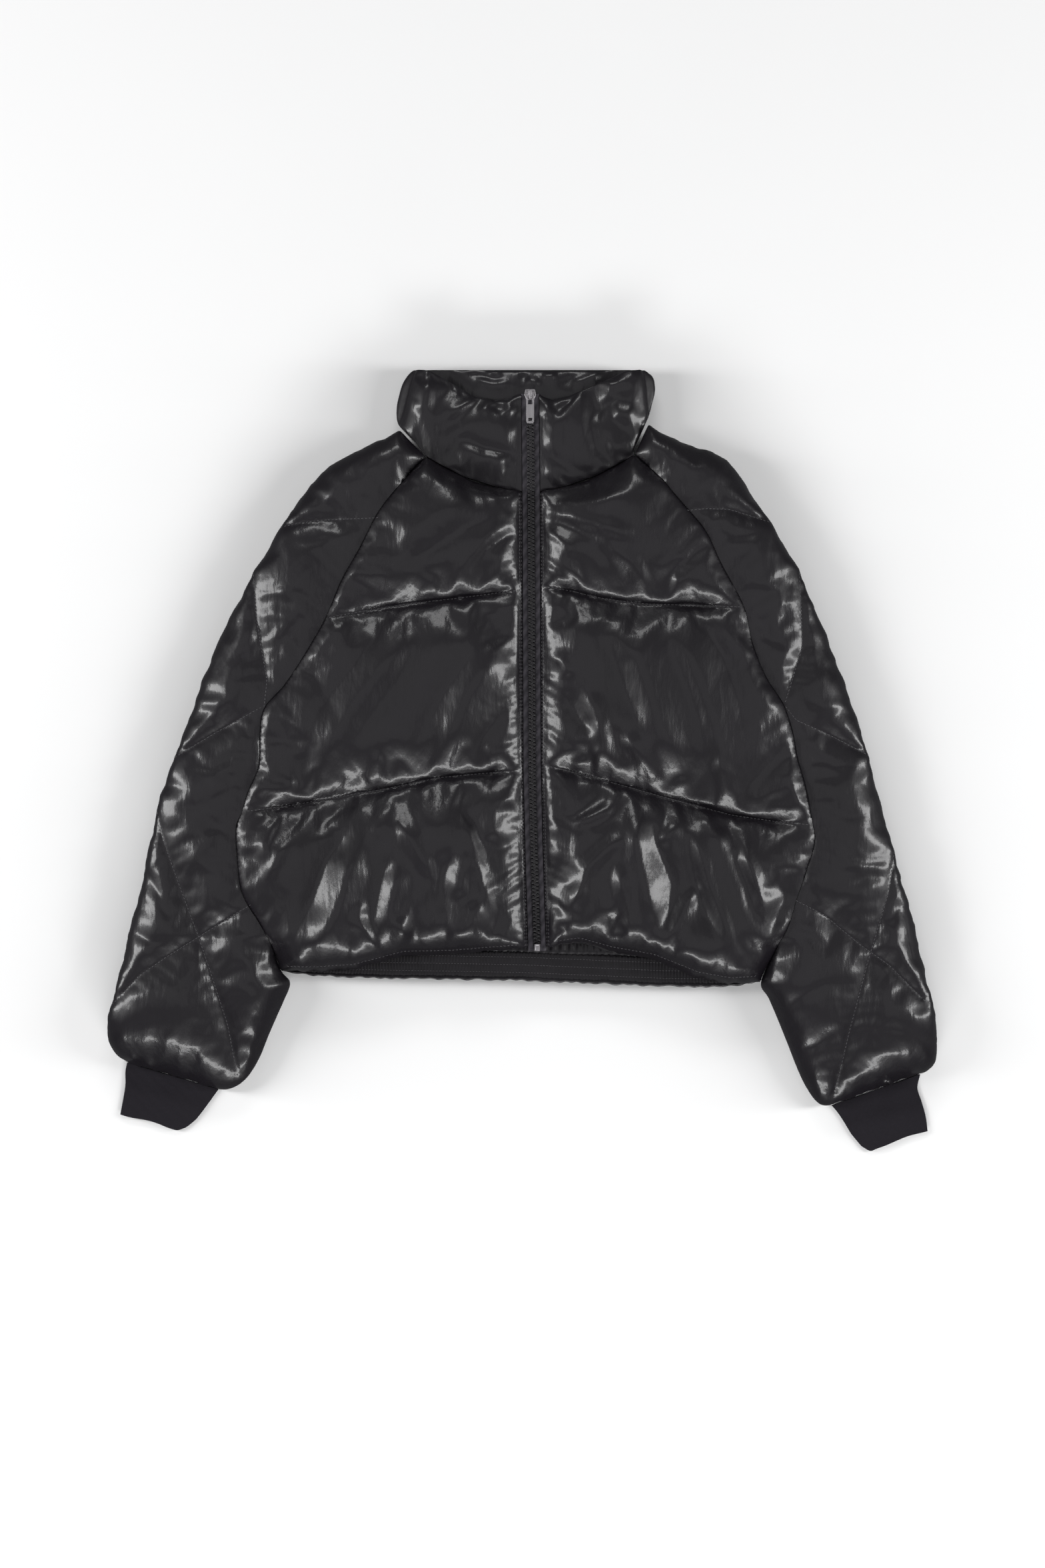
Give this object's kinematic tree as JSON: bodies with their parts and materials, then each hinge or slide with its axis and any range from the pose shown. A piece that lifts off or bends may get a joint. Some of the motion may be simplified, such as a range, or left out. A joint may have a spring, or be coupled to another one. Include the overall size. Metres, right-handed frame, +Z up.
{
  "type": "puffer jacket",
  "caption": "Boxy quilted puffer jacket with raglan sleeves, funnel collar, knitted cuffs and a full front zip, laid flat with its front up.",
  "frame": {"origin": "centre of the box in plan, on the surface the jacket lies on", "axes": "+X to the wearer's left, +Y from hem to collar, +Z up from the surface, out of the front"},
  "size_m": [0.8144, 0.767, 0.0764],
  "materials": {
    "nylon": "glossy coated nylon over padding",
    "knit": "matt smooth jersey",
    "elastic": "ribbed woven elastic",
    "zip_tape": "woven tape",
    "zip_metal": "dark polished zip metal"
  },
  "bodies": {
    "jacket": {"front_right": "nylon", "front_left": "nylon", "back": "nylon", "sleeve_right": "nylon", "sleeve_left": "nylon", "collar": "nylon", "cuff_right": "knit", "cuff_left": "knit", "hem_elastic": "elastic", "zip_tape_right": "zip_tape", "zip_tape_left": "zip_tape", "zip_slider": "zip_metal", "zip_box": "zip_metal"},
    "pull_tab": {"zip_pull": "zip_metal"}
  },
  "joints": [
    {"name": "pull_hinge", "type": "hinge", "parent": "jacket", "child": "pull_tab", "pos_m": [0.00727, 0.35825, 0.0441], "axis": [-1, 0, 0], "range_deg": [0, 180]}
  ]
}
